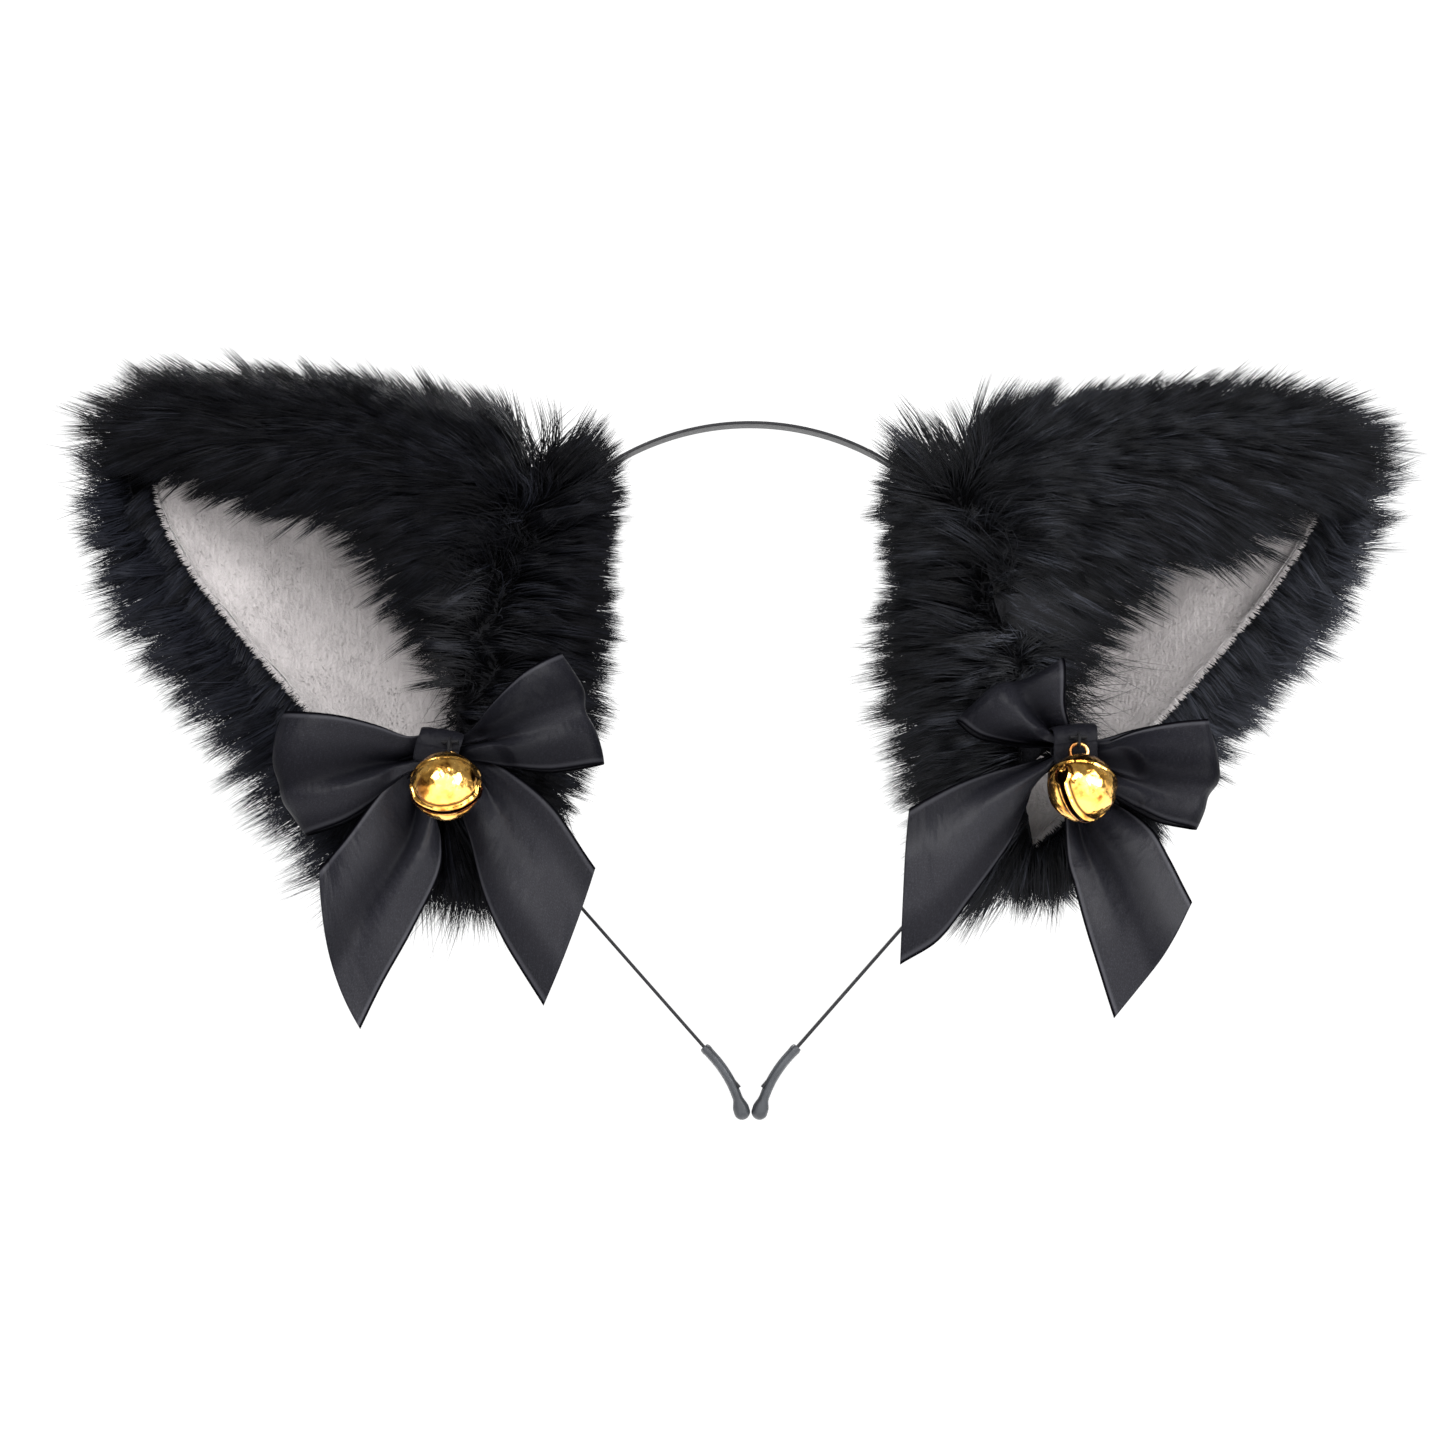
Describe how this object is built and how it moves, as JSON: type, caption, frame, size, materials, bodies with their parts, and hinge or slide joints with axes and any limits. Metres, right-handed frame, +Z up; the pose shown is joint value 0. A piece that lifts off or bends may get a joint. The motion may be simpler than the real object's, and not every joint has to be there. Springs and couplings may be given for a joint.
{
  "type": "animal ears headband",
  "caption": "Sprung steel headband that grips the head, with two furry animal ears, satin bows and small jingle bells.",
  "frame": {"origin": "centre of the band's round crown, where the head sits, at the middle of the strip's width", "axes": "+Z up as worn, +X to the viewer's right, -Y is the front"},
  "size_m": [0.292, 0.0761, 0.1707],
  "materials": {
    "band_steel": "satin black",
    "cap_rubber": "satin",
    "sleeve_felt": "felt",
    "fur": "long-pile faux fur",
    "plush": "short plush",
    "interlining": "non-woven",
    "satin": "satin ribbon",
    "thread": "sewing thread",
    "bell_brass": "polished",
    "pellet_steel": "plain"
  },
  "bodies": {
    "crown": {"band_crown": "band_steel"},
    "side_left": {"band_side_left": "band_steel", "tip_cap_left": "cap_rubber", "ear_sleeve_left": "sleeve_felt"},
    "ear_left": {"ear_fur_left": "fur", "ear_lining_left": "plush", "ear_stiffener_left": "interlining", "base_fur_left": "fur", "seam_thread_left": "thread", "bow_loop_outer_left": "satin", "bow_loop_inner_left": "satin", "tail_ribbon_left": "satin", "knot_wrap_left": "satin", "bell_stitch_left": "thread"},
    "tail_outer_left": {"tail_outer_left": "satin"},
    "tail_inner_left": {"tail_inner_left": "satin"},
    "link_left": {"bell_thread_left": "thread"},
    "bell_left": {"bell_loop_left": "bell_brass", "bell_shell_left": "bell_brass"},
    "pellet_left": {"bell_pellet_left": "pellet_steel"},
    "side_right": {"band_side_right": "band_steel", "tip_cap_right": "cap_rubber", "ear_sleeve_right": "sleeve_felt"},
    "ear_right": {"ear_fur_right": "fur", "ear_lining_right": "plush", "ear_stiffener_right": "interlining", "base_fur_right": "fur", "seam_thread_right": "thread", "bow_loop_outer_right": "satin", "bow_loop_inner_right": "satin", "tail_ribbon_right": "satin", "knot_wrap_right": "satin", "bell_stitch_right": "thread"},
    "tail_outer_right": {"tail_outer_right": "satin"},
    "tail_inner_right": {"tail_inner_right": "satin"},
    "link_right": {"bell_thread_right": "thread"},
    "bell_right": {"bell_loop_right": "bell_brass", "bell_shell_right": "bell_brass"},
    "pellet_right": {"bell_pellet_right": "pellet_steel"}
  },
  "joints": [
    {"name": "flex_left", "type": "hinge", "parent": "crown", "child": "side_left", "pos_m": [-0.0146, 0, 0.05856], "axis": [0, 1, 0], "range_deg": [0, 24], "stiffness_Nm_per_rad": 0.17, "springref_deg": -1.72},
    {"name": "ear_tilt_left", "type": "hinge", "parent": "side_left", "child": "ear_left", "pos_m": [-0.059, 0, 0.005], "axis": [0.2588, 0, 0.9659], "range_deg": [-12, 12], "stiffness_Nm_per_rad": 0.03},
    {"name": "tail_outer_lift_left", "type": "hinge", "parent": "ear_left", "child": "tail_outer_left", "pos_m": [-0.082, -0.029, -0.038], "axis": [-1, 0, 0], "range_deg": [0, 60]},
    {"name": "tail_inner_lift_left", "type": "hinge", "parent": "ear_left", "child": "tail_inner_left", "pos_m": [-0.048, -0.029, -0.038], "axis": [-1, 0, 0], "range_deg": [0, 60]},
    {"name": "bell_lift_left", "type": "hinge", "parent": "ear_left", "child": "link_left", "pos_m": [-0.0654, -0.0354, -0.0174], "axis": [-1, 0, 0], "range_deg": [0, 60]},
    {"name": "bell_swing_left", "type": "hinge", "parent": "link_left", "child": "bell_left", "pos_m": [-0.0654, -0.0354, -0.02065], "axis": [0, 1, 0], "range_deg": [-35, 35]},
    {"name": "pellet_left", "type": "slide", "parent": "bell_left", "child": "pellet_left", "axis": [0, 0, 1], "range_m": [0, 0.0094]},
    {"name": "flex_right", "type": "hinge", "parent": "crown", "child": "side_right", "pos_m": [0.0146, 0, 0.05856], "axis": [0, -1, 0], "range_deg": [0, 24], "stiffness_Nm_per_rad": 0.17, "springref_deg": -1.72},
    {"name": "ear_tilt_right", "type": "hinge", "parent": "side_right", "child": "ear_right", "pos_m": [0.059, 0, 0.005], "axis": [0.2588, 0, -0.9659], "range_deg": [-12, 12], "stiffness_Nm_per_rad": 0.03},
    {"name": "tail_outer_lift_right", "type": "hinge", "parent": "ear_right", "child": "tail_outer_right", "pos_m": [0.082, -0.029, -0.038], "axis": [-1, 0, 0], "range_deg": [0, 60]},
    {"name": "tail_inner_lift_right", "type": "hinge", "parent": "ear_right", "child": "tail_inner_right", "pos_m": [0.048, -0.029, -0.038], "axis": [-1, 0, 0], "range_deg": [0, 60]},
    {"name": "bell_lift_right", "type": "hinge", "parent": "ear_right", "child": "link_right", "pos_m": [0.0706, -0.0354, -0.0164], "axis": [-1, 0, 0], "range_deg": [0, 60]},
    {"name": "bell_swing_right", "type": "hinge", "parent": "link_right", "child": "bell_right", "pos_m": [0.0706, -0.0354, -0.01865], "axis": [0, 1, 0], "range_deg": [-35, 35]},
    {"name": "pellet_right", "type": "slide", "parent": "bell_right", "child": "pellet_right", "axis": [0, 0, 1], "range_m": [0, 0.0094]}
  ]
}
